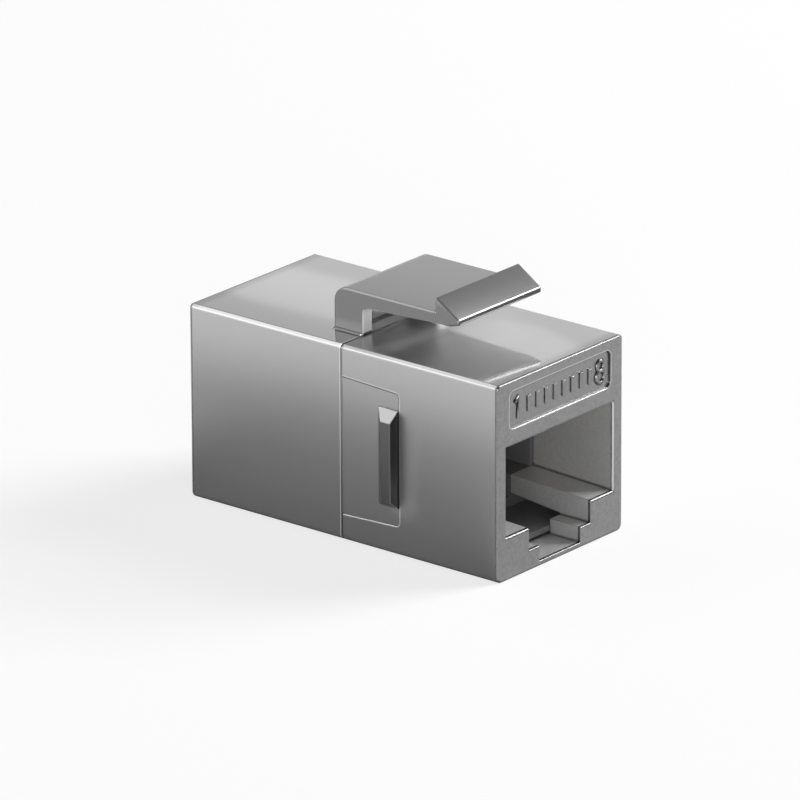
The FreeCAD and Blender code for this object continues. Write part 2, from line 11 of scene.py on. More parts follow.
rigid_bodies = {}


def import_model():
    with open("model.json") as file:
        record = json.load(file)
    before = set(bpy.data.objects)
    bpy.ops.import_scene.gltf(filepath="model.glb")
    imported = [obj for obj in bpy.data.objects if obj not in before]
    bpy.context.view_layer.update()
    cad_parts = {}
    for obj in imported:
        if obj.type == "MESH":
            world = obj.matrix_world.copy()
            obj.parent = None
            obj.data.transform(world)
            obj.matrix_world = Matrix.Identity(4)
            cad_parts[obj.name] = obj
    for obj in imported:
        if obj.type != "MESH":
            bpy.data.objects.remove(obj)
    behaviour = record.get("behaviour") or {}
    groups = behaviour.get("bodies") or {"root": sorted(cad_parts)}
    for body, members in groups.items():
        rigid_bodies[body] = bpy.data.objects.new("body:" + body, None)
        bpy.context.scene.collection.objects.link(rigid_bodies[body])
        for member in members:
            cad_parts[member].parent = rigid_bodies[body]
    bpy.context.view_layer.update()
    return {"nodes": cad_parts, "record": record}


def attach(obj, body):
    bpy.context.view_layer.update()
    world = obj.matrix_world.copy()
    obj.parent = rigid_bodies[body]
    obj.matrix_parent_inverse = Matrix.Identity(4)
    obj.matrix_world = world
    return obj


MM = 0.001

# The camera, fitted to the corners of the body: angles in degrees, lengths in metres
CAMERA_AZIMUTH = -50.7442
CAMERA_ELEVATION = 19.9896
CAMERA_ROLL = -0.2455
CAMERA_DISTANCE = 0.6915364
CAMERA_SIDE_STEP = -0.0007798
CAMERA_RISE = 0.0009171
CAMERA_TARGET = Vector((0, -0.0005, 0.008))
CAMERA_LENS_MM = 423.96
SENSOR_MM = 36
NEAREST_SEEN = 0.01
FARTHEST_SEEN = 20


def clear_scene():
    """Removes what a new file starts with."""
    for item in list(bpy.data.objects):
        bpy.data.objects.remove(item)


def add_camera():
    """The camera at the photograph's place, with no shift."""
    azimuth = math.radians(CAMERA_AZIMUTH)
    elevation = math.radians(CAMERA_ELEVATION)
    roll = math.radians(CAMERA_ROLL)
    level_part = math.cos(elevation)
    back = Vector((math.sin(azimuth) * level_part, -math.cos(azimuth) * level_part, math.sin(elevation)))
    level = Vector((math.cos(azimuth), math.sin(azimuth), 0))
    upright = back.cross(level)
    right = math.cos(roll) * level + math.sin(roll) * upright
    up = math.cos(roll) * upright - math.sin(roll) * level
    place = CAMERA_TARGET + back * CAMERA_DISTANCE + right * CAMERA_SIDE_STEP + up * CAMERA_RISE
    data = bpy.data.cameras.new("camera")
    data.lens = CAMERA_LENS_MM
    data.sensor_width = SENSOR_MM
    data.clip_start = NEAREST_SEEN
    data.clip_end = FARTHEST_SEEN
    camera = bpy.data.objects.new("camera", data)
    turn = Matrix((right, up, back)).transposed().to_4x4()
    camera.matrix_world = Matrix.Translation(place) @ turn
    bpy.context.scene.collection.objects.link(camera)
    bpy.context.scene.camera = camera


class Nodes:
    """Short calls for building a node tree."""

    def __init__(self, tree):
        self.tree = tree
        self.tree.nodes.clear()

    def add(self, kind, **values):
        """A node with its settings and inputs; an input's name has underscores for spaces."""
        node = self.tree.nodes.new(kind)
        for name, value in values.items():
            if hasattr(node, name):
                setattr(node, name, value)
            else:
                self.put(node, name.replace("_", " "), value)
        return node

    def put(self, node, name, value):
        """Sets an input, or links it where the value is a socket."""
        socket = node.inputs[int(name)] if name.isdigit() else node.inputs[name]
        if isinstance(value, bpy.types.NodeSocket):
            self.tree.links.new(value, socket)
        else:
            socket.default_value = value

    def math(self, operation, first, second=0.0):
        """A Math node's value."""
        node = self.tree.nodes.new("ShaderNodeMath")
        node.operation = operation
        for index, value in enumerate((first, second)):
            self.put(node, str(index), value)
        return node.outputs[0]

    def times(self, first, second):
        """The product."""
        return self.math("MULTIPLY", first, second)

    def plus(self, first, second):
        """The sum."""
        return self.math("ADD", first, second)

    def minus(self, first, second):
        """The difference."""
        return self.math("SUBTRACT", first, second)

    def most(self, first, second):
        """The larger of two."""
        return self.math("MAXIMUM", first, second)

    def least(self, first, second):
        """The smaller of two."""
        return self.math("MINIMUM", first, second)

    def away(self, value, middle=0.0):
        """How far a value is from a middle, either way."""
        return self.math("ABSOLUTE", self.minus(value, middle))

    def squared(self, value, middle):
        """The square of the distance from a middle."""
        offset = self.minus(value, middle)
        return self.times(offset, offset)

    def ramp(self, value, low, high, to_low=0.0, to_high=1.0):
        """A smooth step of the value from one range to another."""
        node = self.tree.nodes.new("ShaderNodeMapRange")
        node.interpolation_type = "SMOOTHSTEP"
        for index, item in enumerate((value, low, high, to_low, to_high)):
            self.put(node, str(index), item)
        return node.outputs[0]

    def pick(self, mask, outside, inside):
        """One value outside a mask and another inside it."""
        return self.ramp(mask, 0.0, 1.0, outside, inside)

    def line(self, distance, half_width, fade):
        """1 on a line, fading out between the two shares of its half width."""
        return self.ramp(distance, half_width * fade[0], half_width * fade[1])

    def mix_colour(self, factor, first, second):
        """A mix of two colours."""
        node = self.tree.nodes.new("ShaderNodeMix")
        node.data_type = "RGBA"
        for index, item in ((0, factor), (6, first), (7, second)):
            self.put(node, str(index), item)
        return node.outputs[2]


def grey(level):
    """A neutral colour."""
    return (level, level, level, 1)


def new_material(name):
    """A node material and its tree."""
    material = bpy.data.materials.new(name)
    material.use_nodes = True
    return material, Nodes(material.node_tree)


# Nickel plate by area: how much it reflects, its roughness, its metal share
SKIN = (0.44, 0.07, 1.0)
SATIN = (0.26, 0.24, 1.0)
# The ports' inside, the latch's underside and the post's front reflect more than the outside: painted light
# where they lie in shade
INSIDE_PAINTED_LIGHT = (0.55, 0.50, 0.65)
UNDER_LATCH_PAINTED_LIGHT = (0.95, 0.50, 1.0)
POST_FRONT_PAINTED_LIGHT = (0.80, 0.60, 1.0)

# Places with a roughness or a metal share of their own
SIDE_ROUGHNESS = 0.285
ROUGHNESS_BY_RIB = 0.45
ROUGHNESS_BY_LATCH = 0.26
METAL_AHEAD = 0.72

# How much single places reflect: a level of their own, or a share of the area's
TOP_LEVEL = 0.41
# Painted highlight along the edges; on the end faces and in the ports the edges get a lower painted level
EDGE_HIGHLIGHT_LEVEL = 0.80
END_EDGE_PAINTED_LEVEL = 0.30
# Painted highlights: along the pad's edge and beside the seam, round the panel, on the rim of the mouths
LINE_HIGHLIGHT_LEVEL = 0.85
PANEL_HIGHLIGHT_LEVEL = 0.52
MOUTH_HIGHLIGHT_LEVEL = 0.6
# The rib: its crest and slopes darker, its top lighter as painted light, its front darker as painted shade
RIB_SHARE = 0.7
RIB_TOP_PAINTED_LIGHT_SHARE = 1.5
RIB_FRONT_PAINTED_SHADE_SHARE = 0.5
# Painted shade on the front face of the latch's nose
NOSE_FRONT_SHADE_SHARE = 0.3
# Painted shade in the fillet at the latch's foot
LATCH_FOOT_SHADE_SHARE = 0.35
# Painted shade on the rounded top and bottom edges of the end faces
END_SLOPE_SHADE_SHARE = 0.4
# Painted shade on the top near the front and rear ends
TOP_BORDER_SHADE_SHARE = 0.75
# Painted shade in the creases and inside the pad's edge; the same share darkens the seam line
PAINTED_SHADE_AND_SEAM_SHARE = 0.35

# Painted shade towards the foot of the sides and painted light towards their top: heights and shares there
SIDE_FOOT_PAINTED_SHADE = (0.0, 5.0 * MM, 0.82, 1.0)
SIDE_UPPER_PAINTED_SHADE_AND_LIGHT = (8.0 * MM, 15.0 * MM, 0.9, 1.32)

# Where the areas begin and where they are reached, along the axes and by the way that a face looks
SIDES = (7.15 * MM, 7.2 * MM)
END_FACE = (14.20 * MM, 14.30 * MM)
LATCH = (15.25 * MM, 15.35 * MM)
RIB = (7.31 * MM, 7.36 * MM)
BELOW_ROOF = (15.0 * MM, 14.9 * MM)
ABOVE_FLOOR = (0.15 * MM, 0.25 * MM)
BETWEEN_WALLS = (7.1 * MM, 6.9 * MM)
BY_POST = (1.4 * MM, 0.45 * MM)
LOOKS_AWAY = (-0.6, -0.9)
RIB_PLACE = -5.7 * MM
RIB_HEIGHT = 7.4 * MM
BY_RIB_ALONG = (2.2 * MM, 0.4 * MM)
BY_RIB_UP = (5.0 * MM, 3.8 * MM)
RIB_LOOKS_AHEAD = (-0.8, -0.95)
NOSE = (7.0 * MM, 7.2 * MM)
NOSE_LOOKS_AHEAD = (-0.75, -0.9)
LATCH_FOOT = 15.31 * MM
LATCH_FOOT_FADE = (0.12 * MM, 0.06 * MM)
END_SLOPE = (14.0 * MM, 14.1 * MM)
END_SLOPE_TILT = (0.06, 0.25)
TOP_BORDER = (13.0 * MM, 14.4 * MM)
WEDGE = (6.6 * MM, 6.8 * MM)
TOP_EDGE_ACROSS = (6.7 * MM, 6.8 * MM)
TOP_EDGE_UP = (14.5 * MM, 14.6 * MM)
FRONT_HALF = (0.03 * MM, 0.0)
BY_LATCH = (-8.0 * MM, -1.0 * MM)
BEHIND_BORDER = (-13.7 * MM, -13.4 * MM)
LOOKS_UP = (0.3, 0.7)

# Cast grain: noise scales for each metre, relief, unevenness, and where the edges get a painted highlight,
# broken up by the grain
GRAIN_SCALE = 9000.0
PITS_SCALE = 3000.0
RELIEF = 0.6
GRAIN_DEPTH = 0.03 * MM
GRAIN_ON_ENDS = 0.8
GRAIN_INSIDE = 0.15
UNEVEN_INSIDE = 0.5
UNEVEN_PITS = (0.3, 0.7, -0.06, 0.06)
UNEVEN_GRAIN = (0.35, 0.65, -0.08, 0.08)
EDGE_HIGHLIGHT_TURN = (0.998, 0.94)
EDGE_HIGHLIGHT_GRAIN = (0.2, 0.5)

# Roundings and bows of the plate that only the light shows, and the creases, which also get painted shade
EDGE_ROUNDING = 0.07 * MM
WIDE_ROUNDING = 0.15 * MM
CREASE_REACH = 0.3 * MM
CREASE_OPEN_SHARE = (0.92, 0.6)
CROWN = 3.2
CROWN_HEIGHT = 12.5 * MM
WEDGE_CROWN = 60.0
WEDGE_HEIGHT = 18.0 * MM

# The outline of the sunken pad on the sides, and the line between the halves
PAD_LENGTH = 5.35 * MM
PAD_RADIUS = 0.35 * MM
PAD_MIDDLE = 7.45 * MM
PAD_HALF_HEIGHT = 5.35 * MM
PAD_TAPER = 0.041
PAD_BEGIN = (0.0, 0.01 * MM)
# Heights where the painted shade inside the pad's edge fades in
PAD_SHADE_HEIGHTS = (3.0 * MM, 9.0 * MM)
SEAM_PLACE = 0.08 * MM

# Half widths of the painted highlight and shade lines and of the seam line, and where they fade as shares
# of that
LINE_WIDTH = 0.05 * MM
PANEL_LINE_WIDTH = 0.038 * MM
LINE_FADE = (1.3, 0.7)
SEAM_FADE = (1.2, 0.8)
SEAM_LIGHT_FADE = (1.2, 0.6)
MOUTH_FADE = (1.5, 0.5)

# The sunken panel over the front port
PANEL_MIDDLE = 12.95 * MM
PANEL_HALF_WIDTH = 5.9 * MM
PANEL_HALF_HEIGHT = 1.45 * MM
PANEL_RADIUS = 0.5 * MM
PANEL_AHEAD = (0.0, -1.0 * MM)

# The mouths of the ports, whose rim gets a painted highlight
MOUTH_HALF_WIDTH = 6.25 * MM
MOUTH_TOP = 10.2 * MM
MOUTH_FLOOR = 3.3 * MM
MOUTH_RADIUS = 0.2 * MM


def nickel_areas(nodes, axes, facing):
    """Where the areas of the plate are, 1 inside each."""
    across = nodes.away(axes["X"])
    along = nodes.away(axes["Y"])
    up = axes["Z"]
    sides = nodes.ramp(across, *SIDES)
    end_face = nodes.ramp(along, *END_FACE)
    latch = nodes.ramp(up, *LATCH)
    rib = nodes.ramp(across, *RIB)
    within = nodes.times(nodes.ramp(up, *BELOW_ROOF), nodes.ramp(up, *ABOVE_FLOOR))
    within = nodes.times(within, nodes.ramp(across, *BETWEEN_WALLS))
    by_post = nodes.ramp(along, *BY_POST)
    facing_ahead = nodes.times(facing["Y"], by_post)
    hidden = nodes.ramp(nodes.plus(facing["Z"], facing_ahead), *LOOKS_AWAY)
    by_rib_along = nodes.ramp(nodes.away(axes["Y"], RIB_PLACE), *BY_RIB_ALONG)
    by_rib_up = nodes.ramp(nodes.away(up, RIB_HEIGHT), *BY_RIB_UP)
    nose_front = nodes.times(nodes.ramp(along, *NOSE), nodes.ramp(facing["Y"], *NOSE_LOOKS_AHEAD))
    tilt = nodes.away(nodes.times(facing["Y"], facing["Z"]))
    front_half = nodes.ramp(axes["Y"], *FRONT_HALF)
    return {
        "sides": sides,
        "end_face": end_face,
        "latch": latch,
        "rib": rib,
        "by_rib": nodes.times(nodes.times(by_rib_along, by_rib_up), sides),
        "by_latch": nodes.times(nodes.ramp(axes["Y"], *BY_LATCH), front_half),
        "ahead": nodes.times(nodes.ramp(axes["Y"], *BEHIND_BORDER), front_half),
        "satin": nodes.most(end_face, nodes.most(latch, rib)),
        "inside": nodes.times(within, nodes.minus(1.0, end_face)),
        "under_latch": nodes.times(latch, hidden),
        "post_front": nodes.times(latch, nodes.times(hidden, by_post)),
        "nose_front": nodes.times(latch, nose_front),
        "foot": nodes.ramp(nodes.away(up, LATCH_FOOT), *LATCH_FOOT_FADE),
        "end_slope": nodes.times(nodes.ramp(along, *END_SLOPE), nodes.ramp(tilt, *END_SLOPE_TILT)),
        "top_border": nodes.ramp(along, *TOP_BORDER),
        "wedge": nodes.times(latch, nodes.ramp(along, *WEDGE)),
        "top_edges": nodes.times(nodes.ramp(across, *TOP_EDGE_ACROSS), nodes.ramp(up, *TOP_EDGE_UP)),
        "top": nodes.ramp(facing["Z"], *LOOKS_UP),
    }


def outline_distance(nodes, past_across, past_up, radius):
    """How far a point is outside a rounded outline, from its places past the middles of the corners."""
    corner = nodes.add("ShaderNodeCombineXYZ", X=nodes.most(past_across, 0.0), Y=nodes.most(past_up, 0.0))
    length = nodes.add("ShaderNodeVectorMath", operation="LENGTH", Vector=corner.outputs[0])
    short = nodes.least(nodes.most(past_across, past_up), 0.0)
    return nodes.minus(nodes.plus(length.outputs["Value"], short), radius)


def pad_lines(nodes, axes, areas):
    """The painted shade inside the edge of the sunken pad and the painted highlight outside it."""
    ahead = nodes.times(axes["Y"], -1.0)
    half = nodes.minus(PAD_HALF_HEIGHT - PAD_RADIUS, nodes.times(ahead, PAD_TAPER))
    past_end = nodes.minus(ahead, PAD_LENGTH - PAD_RADIUS)
    past_height = nodes.minus(nodes.away(axes["Z"], PAD_MIDDLE), half)
    distance = outline_distance(nodes, past_end, past_height, PAD_RADIUS)
    region = nodes.times(nodes.ramp(ahead, *PAD_BEGIN), areas["sides"])
    # Painted highlight outside the pad's edge; painted shade inside it, only on its upper part
    light = nodes.line(nodes.away(distance, LINE_WIDTH), LINE_WIDTH, LINE_FADE)
    dark = nodes.line(nodes.away(distance, -LINE_WIDTH), LINE_WIDTH, LINE_FADE)
    dark = nodes.times(dark, nodes.ramp(axes["Z"], *PAD_SHADE_HEIGHTS))
    return nodes.times(dark, region), nodes.times(light, region)


def panel_line(nodes, axes, areas):
    """The painted highlight round the sunken panel."""
    past_across = nodes.minus(nodes.away(axes["X"]), PANEL_HALF_WIDTH - PANEL_RADIUS)
    past_up = nodes.minus(nodes.away(axes["Z"], PANEL_MIDDLE), PANEL_HALF_HEIGHT - PANEL_RADIUS)
    distance = outline_distance(nodes, past_across, past_up, PANEL_RADIUS)
    line = nodes.line(nodes.away(distance, PANEL_LINE_WIDTH), PANEL_LINE_WIDTH, LINE_FADE)
    return nodes.times(line, nodes.times(areas["end_face"], nodes.ramp(axes["Y"], *PANEL_AHEAD)))


def mouth_line(nodes, axes, areas):
    """The painted highlight on the rim of the mouths, above the ledges."""
    past_across = nodes.minus(nodes.away(axes["X"]), MOUTH_HALF_WIDTH - MOUTH_RADIUS)
    past_up = nodes.minus(axes["Z"], MOUTH_TOP - MOUTH_RADIUS)
    distance = outline_distance(nodes, past_across, past_up, MOUTH_RADIUS)
    line = nodes.line(nodes.away(distance, LINE_WIDTH), LINE_WIDTH, MOUTH_FADE)
    above = nodes.ramp(axes["Z"], MOUTH_FLOOR, MOUTH_FLOOR + LINE_WIDTH)
    return nodes.times(line, nodes.times(areas["end_face"], above))


def seam_lines(nodes, axes, areas):
    """The dark line between the halves and the painted highlight on the edge beside it."""
    outside = nodes.minus(1.0, nodes.most(areas["inside"], areas["latch"]))
    offset = nodes.minus(axes["Y"], SEAM_PLACE)
    dark = nodes.line(nodes.away(offset), LINE_WIDTH, SEAM_FADE)
    light = nodes.line(nodes.away(offset, LINE_WIDTH * 2), LINE_WIDTH, SEAM_LIGHT_FADE)
    return nodes.times(dark, outside), nodes.times(light, outside)


def plate_edges(nodes, normal, areas):
    """The normal with rounded edges, how much it turns from the face, and where creases are."""
    rounding = nodes.pick(nodes.most(areas["top_edges"], areas["latch"]), EDGE_ROUNDING, WIDE_ROUNDING)
    rounded = nodes.add("ShaderNodeBevel", samples=8, Radius=rounding).outputs["Normal"]
    turn = nodes.add("ShaderNodeVectorMath", operation="DOT_PRODUCT")
    nodes.put(turn, "0", normal)
    nodes.put(turn, "1", rounded)
    open_share = nodes.add("ShaderNodeAmbientOcclusion", samples=8, Distance=CREASE_REACH).outputs["AO"]
    crease = nodes.ramp(open_share, *CREASE_OPEN_SHARE)
    sharp_in_crease = nodes.add("ShaderNodeMix", data_type="VECTOR")
    for index, item in ((0, crease), (4, rounded), (5, normal)):
        nodes.put(sharp_in_crease, str(index), item)
    return sharp_in_crease.outputs[1], turn.outputs["Value"], crease


def nickel_normals(nodes, axes, areas, rounded, height):
    """The rounded normal with the slight bow of the faces and the cast grain."""
    bow = nodes.plus(nodes.squared(axes["X"], 0.0), nodes.squared(axes["Z"], CROWN_HEIGHT))
    wedge_bow = nodes.times(nodes.squared(axes["Z"], WEDGE_HEIGHT), areas["wedge"])
    shape = nodes.plus(nodes.times(bow, -CROWN), nodes.times(wedge_bow, -WEDGE_CROWN))
    crowned = nodes.add("ShaderNodeBump", Strength=1.0, Distance=1.0, Height=shape, Normal=rounded)
    grain_on_ends = nodes.times(areas["end_face"], GRAIN_ON_ENDS)
    grain = nodes.most(grain_on_ends, nodes.times(areas["inside"], GRAIN_INSIDE))
    bumped = nodes.add("ShaderNodeBump", Strength=grain, Distance=GRAIN_DEPTH, Height=height,
                       Normal=crowned.outputs["Normal"])
    return bumped.outputs["Normal"]


def plate_value(nodes, areas, index, skin):
    """One of the three values of the area that a point is in."""
    value = nodes.pick(areas["satin"], skin, SATIN[index])
    # For the level: painted light in the ports, under the latch and on the post's front, where they lie in
    # shade
    value = nodes.pick(areas["inside"], value, INSIDE_PAINTED_LIGHT[index])
    value = nodes.pick(areas["under_latch"], value, UNDER_LATCH_PAINTED_LIGHT[index])
    return nodes.pick(areas["post_front"], value, POST_FRONT_PAINTED_LIGHT[index])


def plate_level(nodes, axes, facing, areas):
    """How much the plate reflects by area, with painted light in the ports, under the latch and on the
    post's front, and painted light and shade on the sides, the rib, the nose's front, the latch's foot and
    the top's borders, before grain, edge highlights and lines.
    """
    # Painted shade towards the foot of the sides and painted light towards their top
    side_painted_shade_and_light = nodes.times(nodes.ramp(axes["Z"], *SIDE_FOOT_PAINTED_SHADE), nodes.ramp(axes["Z"], *SIDE_UPPER_PAINTED_SHADE_AND_LIGHT))
    side_level = nodes.times(side_painted_shade_and_light, SKIN[0])
    # Painted shade on the top near the front and rear ends
    top_level = nodes.pick(areas["top_border"], TOP_LEVEL, TOP_LEVEL * TOP_BORDER_SHADE_SHARE)
    level = plate_value(nodes, areas, 0, nodes.pick(areas["top"], side_level, top_level))
    # Painted light on the rib's top and painted shade on its front; its crest and slopes are darker
    rib_painted_light_and_shade = nodes.pick(areas["top"], RIB_SHARE, RIB_TOP_PAINTED_LIGHT_SHARE)
    rib_painted_light_and_shade = nodes.ramp(facing["Y"], *RIB_LOOKS_AHEAD, rib_painted_light_and_shade, RIB_FRONT_PAINTED_SHADE_SHARE)
    level = nodes.times(level, nodes.pick(areas["rib"], 1.0, rib_painted_light_and_shade))
    # Painted shade on the front face of the latch's nose
    level = nodes.times(level, nodes.pick(areas["nose_front"], 1.0, NOSE_FRONT_SHADE_SHARE))
    # Painted shade in the fillet at the latch's foot
    return nodes.times(level, nodes.pick(areas["foot"], 1.0, LATCH_FOOT_SHADE_SHARE))


def plate_finish(nodes, axes, areas, level, edge_highlight, crease):
    """The level with the painted edge highlights, the painted shade on the end slopes, the painted
    highlight and shade lines, the creases' painted shade and the dark seam line.
    """
    seam_dark, seam_highlight = seam_lines(nodes, axes, areas)
    pad_shade, pad_highlight = pad_lines(nodes, axes, areas)
    on_ends = nodes.most(areas["end_face"], areas["inside"])
    # Painted highlight along the edges, at a lower painted level on the end faces and in the ports
    level = nodes.pick(edge_highlight, level, nodes.pick(on_ends, EDGE_HIGHLIGHT_LEVEL, END_EDGE_PAINTED_LEVEL))
    # Painted shade on the rounded top and bottom edges of the end faces
    level = nodes.times(level, nodes.pick(areas["end_slope"], 1.0, END_SLOPE_SHADE_SHARE))
    # Painted highlight outside the pad's edge and on the edge beside the seam
    level = nodes.pick(nodes.most(pad_highlight, seam_highlight), level, LINE_HIGHLIGHT_LEVEL)
    # Painted shade in the creases and inside the pad's edge, and the dark seam line
    dark = nodes.most(crease, nodes.most(pad_shade, seam_dark))
    level = nodes.times(level, nodes.pick(dark, 1.0, PAINTED_SHADE_AND_SEAM_SHARE))
    # Painted highlight round the sunken panel
    level = nodes.pick(panel_line(nodes, axes, areas), level, PANEL_HIGHLIGHT_LEVEL)
    # Painted highlight on the rim of the mouths
    return nodes.pick(mouth_line(nodes, axes, areas), level, MOUTH_HIGHLIGHT_LEVEL)


def nickel_plate():
    """Plated die casting: polished long sides, satin latch and grained end faces, duller inside, with
    painted light and shade set by place along its faces, edges, creases and lines.
    """
    material, nodes = new_material("nickel_plate")
    place = nodes.add("ShaderNodeTexCoord").outputs["Object"]
    axes = nodes.add("ShaderNodeSeparateXYZ", Vector=place).outputs
    normal = nodes.add("ShaderNodeNewGeometry").outputs["Normal"]
    facing = nodes.add("ShaderNodeSeparateXYZ", Vector=normal).outputs
    areas = nickel_areas(nodes, axes, facing)
    rounded, turn, crease = plate_edges(nodes, normal, areas)

    grain = nodes.add("ShaderNodeTexNoise", Vector=place, Scale=GRAIN_SCALE, Detail=3.0, Roughness=0.6)
    grain = grain.outputs["Fac"]
    pits = nodes.add("ShaderNodeTexNoise", Vector=place, Scale=PITS_SCALE, Detail=2.0, Roughness=0.5)
    pits = pits.outputs["Fac"]
    height = nodes.times(nodes.plus(grain, pits), RELIEF)
    grained = nodes.most(areas["end_face"], nodes.times(areas["inside"], UNEVEN_INSIDE))
    uneven = nodes.plus(nodes.ramp(pits, *UNEVEN_PITS), nodes.ramp(grain, *UNEVEN_GRAIN))
    # Painted highlight along the edges, where the normal turns, broken up by the grain and kept out of the
    # creases
    edge_highlight = nodes.times(nodes.ramp(turn, *EDGE_HIGHLIGHT_TURN), nodes.ramp(grain, *EDGE_HIGHLIGHT_GRAIN))
    edge_highlight = nodes.times(edge_highlight, nodes.minus(1.0, crease))

    level = plate_level(nodes, axes, facing, areas)
    level = nodes.times(level, nodes.plus(1.0, nodes.times(uneven, grained)))
    level = plate_finish(nodes, axes, areas, level, edge_highlight, crease)
    tint = nodes.add("ShaderNodeCombineColor", Red=level, Green=level, Blue=level)

    top_roughness = nodes.pick(nodes.times(areas["by_latch"], areas["top"]), SKIN[1], ROUGHNESS_BY_LATCH)
    skin_roughness = nodes.pick(areas["top"], SIDE_ROUGHNESS, top_roughness)
    skin_roughness = nodes.pick(areas["by_rib"], skin_roughness, ROUGHNESS_BY_RIB)
    metal = nodes.pick(nodes.times(areas["ahead"], areas["top"]), SKIN[2], METAL_AHEAD)
    shader = nodes.add("ShaderNodeBsdfPrincipled", Base_Color=tint.outputs[0],
                       Roughness=plate_value(nodes, areas, 1, skin_roughness),
                       Metallic=plate_value(nodes, areas, 2, metal),
                       Normal=nickel_normals(nodes, axes, areas, rounded, height))
    nodes.add("ShaderNodeOutputMaterial", Surface=shader.outputs["BSDF"])
    return material


# The other finishes: the two tints that a noise mixes, and the noise's scale for each metre
PLASTIC_TINTS = ((0.095, 0.095, 0.100, 1), (0.130, 0.130, 0.137, 1))
PLASTIC_SCALE = 4000.0
PLASTIC_ROUGHNESS = (0.2, 0.8, 0.42, 0.55)
PLASTIC_RELIEF = 0.02 * MM
GOLD_TINTS = ((0.62, 0.40, 0.13, 1), (0.78, 0.55, 0.21, 1))
GOLD_SCALE = 3500.0
GOLD_ROUGHNESS = (0.2, 0.8, 0.18, 0.3)
BOARD_TINTS = ((0.01, 0.09, 0.04, 1), (0.02, 0.15, 0.07, 1))
BOARD_SCALE = 1500.0


def two_tints(nodes, scale, detail, tints):
    """A noise over the surface and the mix of two tints that follows it."""
    place = nodes.add("ShaderNodeTexCoord").outputs["Object"]
    noise = nodes.add("ShaderNodeTexNoise", Vector=place, Scale=scale, Detail=detail).outputs["Fac"]
    return noise, nodes.mix_colour(noise, *tints)


def black_plastic():
    """Moulded satin plastic with a faint texture."""
    material, nodes = new_material("black_plastic")
    grain, tint = two_tints(nodes, PLASTIC_SCALE, 3.0, PLASTIC_TINTS)
    bump = nodes.add("ShaderNodeBump", Strength=0.3, Distance=PLASTIC_RELIEF, Height=grain)
    shader = nodes.add("ShaderNodeBsdfPrincipled", Base_Color=tint,
                       Roughness=nodes.ramp(grain, *PLASTIC_ROUGHNESS), Normal=bump.outputs["Normal"])
    nodes.add("ShaderNodeOutputMaterial", Surface=shader.outputs["BSDF"])
    return material


def gold_plate():
    """Gold plated wire with fine drawing marks."""
    material, nodes = new_material("gold_plate")
    marks, tint = two_tints(nodes, GOLD_SCALE, 2.0, GOLD_TINTS)
    shader = nodes.add("ShaderNodeBsdfPrincipled", Base_Color=tint, Metallic=1.0,
                       Roughness=nodes.ramp(marks, *GOLD_ROUGHNESS))
    nodes.add("ShaderNodeOutputMaterial", Surface=shader.outputs["BSDF"])
    return material


def board_green():
    """Solder mask over the weave of the board."""
    material, nodes = new_material("board_green")
    _, tint = two_tints(nodes, BOARD_SCALE, 2.0, BOARD_TINTS)
    shader = nodes.add("ShaderNodeBsdfPrincipled", Base_Color=tint, Roughness=0.3, Coat_Weight=0.3)
    nodes.add("ShaderNodeOutputMaterial", Surface=shader.outputs["BSDF"])
    return material


def dress(frame):
    """Puts each material on the solids of its slot."""
    made = {"nickel_plate": nickel_plate(), "black_plastic": black_plastic(), "gold_plate": gold_plate(),
            "board_green": board_green()}
    slots = {part["node"]: part["material_slot"] for part in frame["record"]["subparts"]}
    for name, node in frame["nodes"].items():
        node.data.materials.clear()
        node.data.materials.append(made[slots[name]])
    return made


# Raised marks in the sunken panel: the numbers of the first and last contact, and a bar for each contact
PANEL_FACE = -14.34 * MM
CONTACTS = 8
CONTACT_PITCH = 1.016 * MM
STROKE_RADIUS = 0.17 * MM
BAR_HALF = 0.6 * MM
DIGIT_HALF = 0.82 * MM
DIGIT_PLACE = 4.8 * MM
DIGIT_FLAG = 0.36 * MM
RING_CORNERS = 8

# The two rings of the 8: height of the middle, half width, half height
UPPER_RING = (0.44 * MM, 0.40 * MM, 0.44 * MM)
LOWER_RING = (-0.40 * MM, 0.50 * MM, 0.52 * MM)


def add_stroke(curve, points, closed=False):
    """A rounded raised line through points across and up, counted from the middle of the panel."""
    spline = curve.splines.new("NURBS" if closed else "POLY")
    spline.points.add(len(points) - 1)
    for item, (across, up) in zip(spline.points, points):
        item.co = (across, PANEL_FACE, PANEL_MIDDLE + up, 1)
    spline.use_cyclic_u = closed
    if closed:
        spline.order_u = 4
        spline.resolution_u = 6


def add_ring(curve, middle, height, width, tall):
    """A closed oval stroke."""
    points = []
    for index in range(RING_CORNERS):
        turn = math.tau * index / RING_CORNERS
        points.append((middle + width * math.cos(turn), height + tall * math.sin(turn)))
    add_stroke(curve, points, closed=True)


def add_panel_marks(material):
    """The raised marks, half sunk in the panel."""
    curve = bpy.data.curves.new("panel_marks", "CURVE")
    curve.dimensions = "3D"
    curve.bevel_depth = STROKE_RADIUS
    curve.bevel_resolution = 4
    curve.use_fill_caps = True
    for place in range(CONTACTS):
        across = (place - (CONTACTS - 1) / 2) * CONTACT_PITCH
        add_stroke(curve, [(across, -BAR_HALF), (across, BAR_HALF)])
    flag = (-DIGIT_PLACE - DIGIT_FLAG, DIGIT_HALF - DIGIT_FLAG)
    add_stroke(curve, [flag, (-DIGIT_PLACE, DIGIT_HALF), (-DIGIT_PLACE, -DIGIT_HALF)])
    add_ring(curve, DIGIT_PLACE, *UPPER_RING)
    add_ring(curve, DIGIT_PLACE, *LOWER_RING)
    marks = bpy.data.objects.new("panel_marks", curve)
    bpy.context.scene.collection.objects.link(marks)
    curve.materials.append(material)
    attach(marks, "root")


